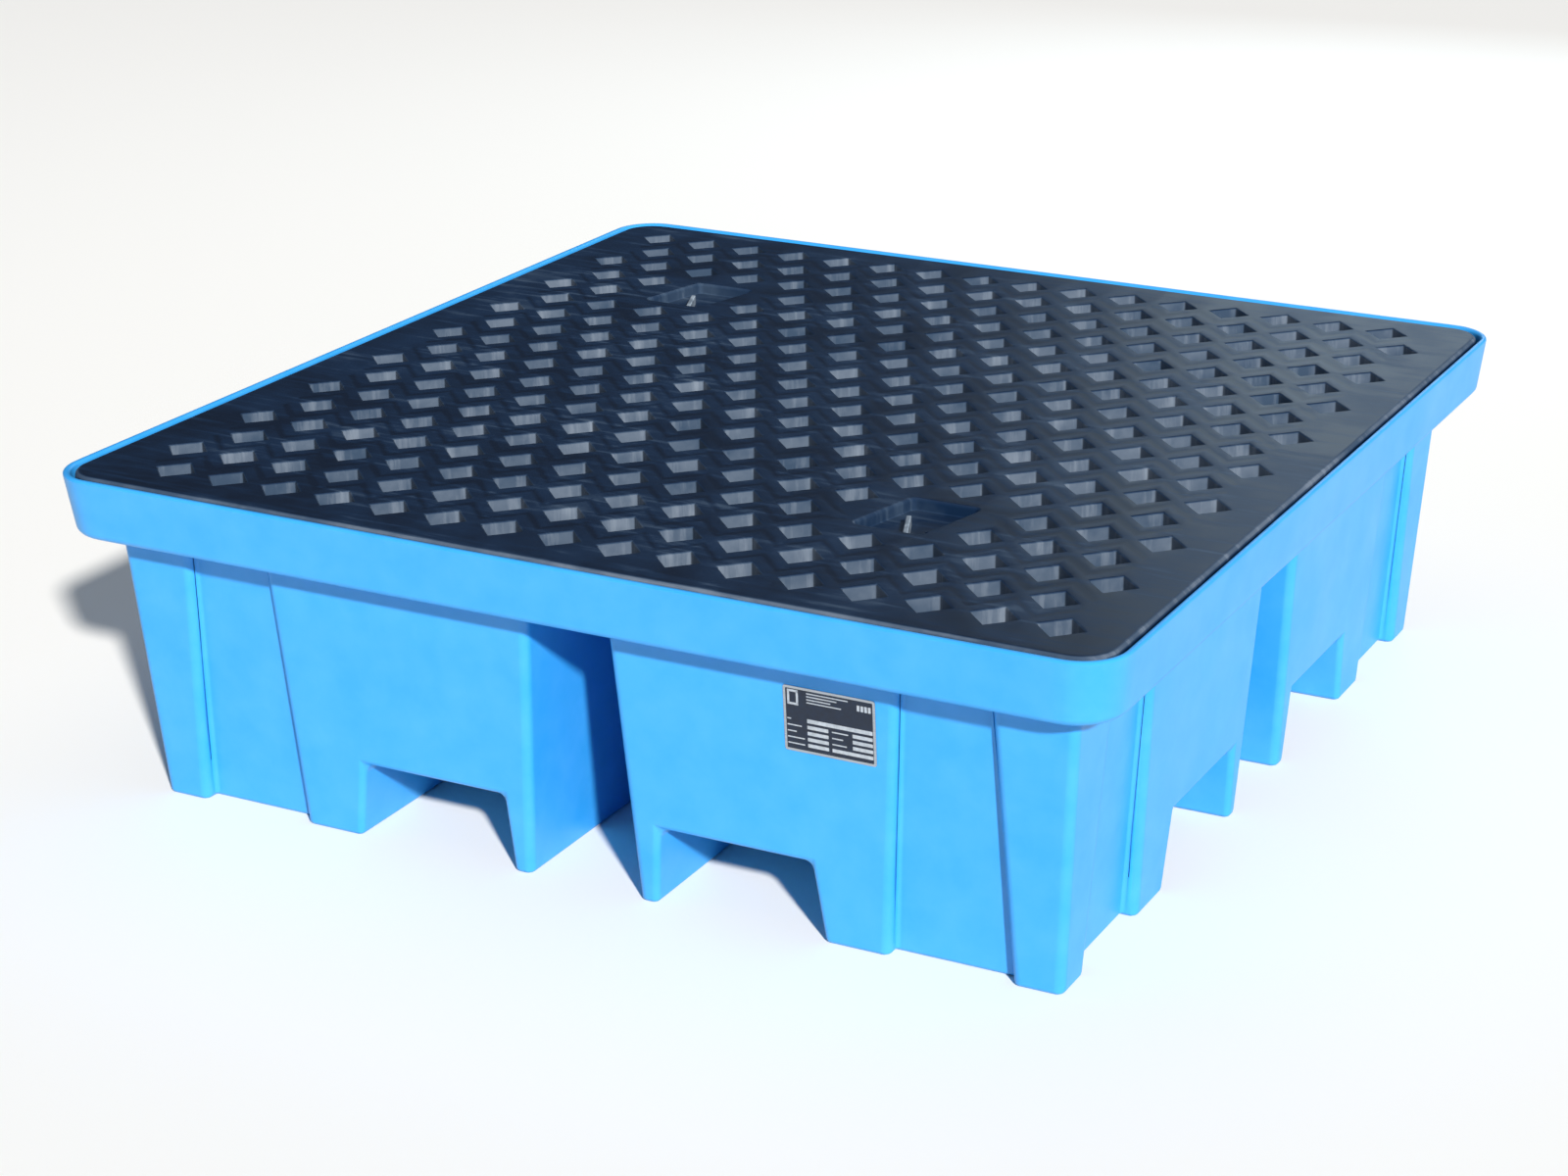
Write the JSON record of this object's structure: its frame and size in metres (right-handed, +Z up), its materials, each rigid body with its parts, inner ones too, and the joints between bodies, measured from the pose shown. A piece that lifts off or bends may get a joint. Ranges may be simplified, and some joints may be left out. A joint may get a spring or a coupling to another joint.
{
  "type": "spill containment pallet",
  "caption": "Square spill pallet: a deep rimmed plastic sump on hollow wells with fork pockets, carrying a flush lift-out drum grate with diamond drain holes.",
  "frame": {"origin": "floor level, middle of the square plan", "axes": "+Z up; -Y is the side with the rating plate; X runs along that side"},
  "size_m": [1.28, 1.28, 0.4],
  "materials": {
    "sump_polyethylene": "rotomoulded sky-blue polyethylene, soft satin",
    "grate_polyethylene": "black moulded polyethylene, scuffed satin",
    "plate_aluminium": "thin printed aluminium"
  },
  "bodies": {
    "sump": {"sump_rim": "sump_polyethylene", "well_front_left": "sump_polyethylene", "well_front_right": "sump_polyethylene", "well_back_left": "sump_polyethylene", "well_back_right": "sump_polyethylene", "rating_plate": "plate_aluminium"},
    "grate": {"grate": "grate_polyethylene"}
  },
  "joints": [
    {"name": "grate_lift_off", "type": "slide", "parent": "sump", "child": "grate", "axis": [0, 0, 1], "range_m": [0, 0.15]}
  ]
}
